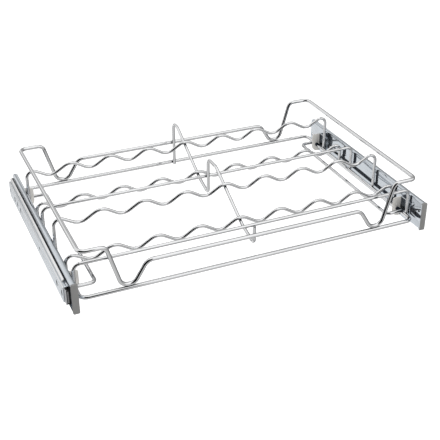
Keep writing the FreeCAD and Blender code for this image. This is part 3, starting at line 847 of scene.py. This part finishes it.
class SHOERACK_OT_cages(bpy.types.Operator):
    """Press the ball cages and set their balls"""
    bl_idname = "shoe_rack.cages"
    bl_label = "Cages And Balls"
    bl_options = {"REGISTER", "UNDO"}

    def execute(self, context):
        size = context.scene.shoe_rack_sizes
        for name in SIDES:
            for kind in ("channel", "cabinet"):
                refine_node(f"{kind}_cage_{name}", f"{kind}_cage_pressed_{name}", cage_zinc(),
                            "cage_zinc")
                self.set_balls(size.ball, kind, name)
        return {"FINISHED"}

    def set_balls(self, diameter, kind, name):
        """One turned ball, copied to the middle of every ball of the node."""
        node = f"{kind}_balls_{name}"
        deselect()
        bpy.ops.mesh.primitive_uv_sphere_add(segments=BALL_SEGMENTS, ring_count=BALL_RINGS,
                                             radius=diameter / 2)
        bpy.ops.object.mode_set(mode="EDIT")
        for place in ball_middles(node, diameter):
            bpy.ops.mesh.select_all(action="DESELECT")
            choose_points([Vector()], diameter)
            bpy.ops.mesh.duplicate_move(TRANSFORM_OT_translate={"value": place})
        bpy.ops.mesh.select_all(action="DESELECT")
        choose_points([Vector()], diameter)
        bpy.ops.mesh.delete(type="VERT")
        bpy.ops.object.mode_set(mode="OBJECT")
        finish_piece(f"{kind}_balls_round_{name}", ball_steel(), f"{kind}_cage_{name}",
                     "ball_steel", node)


class SHOERACK_OT_brackets(bpy.types.Operator):
    """Fold the brackets between the channels and the base ring"""
    bl_idname = "shoe_rack.brackets"
    bl_label = "Brackets"
    bl_options = {"REGISTER", "UNDO"}

    def execute(self, context):
        for name in SIDES:
            for row in ROWS:
                piece = refine_node(f"bracket_{row}_{name}", f"bracket_folded_{row}_{name}",
                                    bracket_paint(), "bracket_paint", BRACKET_EASE)
                finish_faces(piece, bright_zinc(), is_flange)
        return {"FINISHED"}


class SHOERACK_OT_bumpers(bpy.types.Operator):
    """Form the grey bumpers and their rivets"""
    bl_idname = "shoe_rack.bumpers"
    bl_label = "Bumpers And Rivets"
    bl_options = {"REGISTER", "UNDO"}

    def execute(self, context):
        for name in SIDES:
            piece = refine_node(f"bumper_{name}", f"bumper_moulded_{name}", bumper_paint(),
                                "bumper_grey", BUMPER_EASE)
            finish_faces(piece, bright_zinc(), is_tab)
        refine_node("bumper_rivets", "bumper_rivets_headed", black_liner(), "rivet_steel",
                    RIVET_EASE)
        return {"FINISHED"}


class SHOERACK_OT_front_stops(bpy.types.Operator):
    """Mould the black stops in the cabinet members' front ends"""
    bl_idname = "shoe_rack.front_stops"
    bl_label = "Front Stops"
    bl_options = {"REGISTER", "UNDO"}

    def execute(self, context):
        for name in SIDES:
            refine_node(f"front_stop_{name}", f"front_stop_moulded_{name}", stop_plastic(),
                        "stop_plastic", STOP_EASE)
        return {"FINISHED"}


class SHOERACK_OT_stage(bpy.types.Operator):
    """Lay the floor, hang the lamps and set the camera"""
    bl_idname = "shoe_rack.stage"
    bl_label = "Stage"
    bl_options = {"REGISTER", "UNDO"}

    def execute(self, context):
        self.lay_floor()
        self.fill_world(context.scene)
        for lamp in LAMPS:
            self.add_lamp(*lamp)
        self.set_camera(context.scene)
        context.scene.view_settings.view_transform = "Standard"
        return {"FINISHED"}

    def lay_floor(self):
        """A plain pale floor; metal sees the studio's tones in its place."""
        deselect()
        bpy.ops.mesh.primitive_plane_add(size=FLOOR_SPREAD, location=(0, 0, FLOOR_HEIGHT))
        floor = bpy.context.object
        floor.name = "floor"
        bpy.ops.object.transform_apply(location=True)
        material = bpy.data.materials.new("Floor")
        material.use_nodes = True
        tree = material.node_tree
        tree.nodes.clear()
        pale = tree.nodes.new("ShaderNodeBsdfDiffuse")
        pale.inputs["Color"].default_value = (*finishes().floor, 1)
        glow = tree.nodes.new("ShaderNodeEmission")
        glow.inputs["Strength"].default_value = FLOOR_GLOW
        backdrop = tree.nodes.new("ShaderNodeAddShader")
        tree.links.new(pale.outputs[0], backdrop.inputs[0])
        tree.links.new(glow.outputs[0], backdrop.inputs[1])
        clear = tree.nodes.new("ShaderNodeBsdfTransparent")
        output = tree.nodes.new("ShaderNodeOutputMaterial")
        shown = show_by_ray(tree, pale, clear, backdrop, backdrop)
        tree.links.new(shown, output.inputs["Surface"])
        floor.data.materials.append(material)

    def fill_world(self, scene):
        """White all round; metal sees a studio with a bright side, a dim side and a dark corner."""
        world = bpy.data.worlds.new("Studio")
        scene.world = world
        world.use_nodes = True
        tree = world.node_tree
        tree.nodes.clear()
        soft, studio, white = [tree.nodes.new("ShaderNodeBackground") for _ in range(3)]
        for background in (soft, studio, white):
            background.inputs["Color"].default_value = (1, 1, 1, 1)
        soft.inputs["Strength"].default_value = SOFT_LIGHT
        tree.links.new(self.add_patches(tree), studio.inputs["Strength"])
        output = tree.nodes.new("ShaderNodeOutputWorld")
        shown = show_by_ray(tree, soft, studio, white, white)
        tree.links.new(shown, output.inputs["Surface"])

    def add_patches(self, tree):
        """The brightness of the studio in each direction, patch laid over patch."""
        place = tree.nodes.new("ShaderNodeTexCoord").outputs["Generated"]
        tone = None
        for azimuth, elevation, outer, inner, level in STUDIO_PATCHES:
            turn, lift = math.radians(azimuth), math.radians(elevation)
            toward = tree.nodes.new("ShaderNodeVectorMath")
            toward.operation = "DOT_PRODUCT"
            toward.inputs[1].default_value = (math.sin(turn) * math.cos(lift),
                                              -math.cos(turn) * math.cos(lift), math.sin(lift))
            tree.links.new(place, toward.inputs[0])
            span = math.cos(math.radians(outer)), math.cos(math.radians(inner))
            patch = add_range(tree, toward.outputs["Value"], span)
            patch.interpolation_type = "SMOOTHSTEP"
            blend = tree.nodes.new("ShaderNodeMix")
            blend.data_type = "FLOAT"
            blend.inputs["A"].default_value = STUDIO_DIM
            blend.inputs["B"].default_value = level
            tree.links.new(patch.outputs["Result"], blend.inputs["Factor"])
            if tone is not None:
                tree.links.new(tone, blend.inputs["A"])
            tone = blend.outputs["Result"]
        return tone

    def add_lamp(self, name, place, spread, power):
        """A square lamp aimed at the rack, left out of what metal mirrors."""
        aim = (-Vector(place)).to_track_quat("-Z", "Y").to_euler()
        bpy.ops.object.light_add(type="AREA", location=place, rotation=aim)
        lamp = bpy.context.object
        lamp.name = name
        lamp.data.shape = "SQUARE"
        lamp.data.size = spread
        lamp.data.energy = power
        lamp.visible_glossy = False

    def set_camera(self, scene):
        bpy.ops.object.camera_add(location=CAMERA_PLACE, rotation=CAMERA_TURN)
        camera = bpy.context.object
        camera.name = "camera"
        camera.data.sensor_width = SENSOR_WIDTH
        camera.data.lens = CAMERA_LENS
        scene.camera = camera


OPERATORS = (
    SHOERACK_OT_base_ring,
    SHOERACK_OT_gallery,
    SHOERACK_OT_shoe_wires,
    SHOERACK_OT_toe_stops,
    SHOERACK_OT_divider,
    SHOERACK_OT_carriers,
    SHOERACK_OT_runner_members,
    SHOERACK_OT_cages,
    SHOERACK_OT_brackets,
    SHOERACK_OT_bumpers,
    SHOERACK_OT_front_stops,
    SHOERACK_OT_stage,
)


class SHOERACK_PT_panel(bpy.types.Panel):
    bl_label = "Shoe Rack"
    bl_idname = "SHOERACK_PT_panel"
    bl_space_type = "VIEW_3D"
    bl_region_type = "UI"
    bl_category = "Shoe Rack"

    def draw(self, context):
        for operator in OPERATORS:
            self.layout.operator(operator.bl_idname)
        for group in (context.scene.shoe_rack_sizes, context.scene.shoe_rack_finishes):
            for name in group.bl_rna.properties.keys():
                if name not in ("rna_type", "name"):
                    self.layout.prop(group, name)


CLASSES = (ShoeRackSizes, ShoeRackFinishes, *OPERATORS, SHOERACK_PT_panel)


def register():
    for item in CLASSES:
        bpy.utils.register_class(item)
    bpy.types.Scene.shoe_rack_sizes = PointerProperty(type=ShoeRackSizes)
    bpy.types.Scene.shoe_rack_finishes = PointerProperty(type=ShoeRackFinishes)


def unregister():
    del bpy.types.Scene.shoe_rack_finishes
    del bpy.types.Scene.shoe_rack_sizes
    for item in reversed(CLASSES):
        bpy.utils.unregister_class(item)


def main():
    register()
    bpy.ops.shoe_rack.base_ring()
    bpy.ops.shoe_rack.gallery()
    bpy.ops.shoe_rack.shoe_wires()
    bpy.ops.shoe_rack.toe_stops()
    bpy.ops.shoe_rack.divider()
    bpy.ops.shoe_rack.carriers()
    bpy.ops.shoe_rack.runner_members()
    bpy.ops.shoe_rack.cages()
    bpy.ops.shoe_rack.brackets()
    bpy.ops.shoe_rack.bumpers()
    bpy.ops.shoe_rack.front_stops()
    bpy.ops.shoe_rack.stage()


if __name__ == "__main__":
    main()
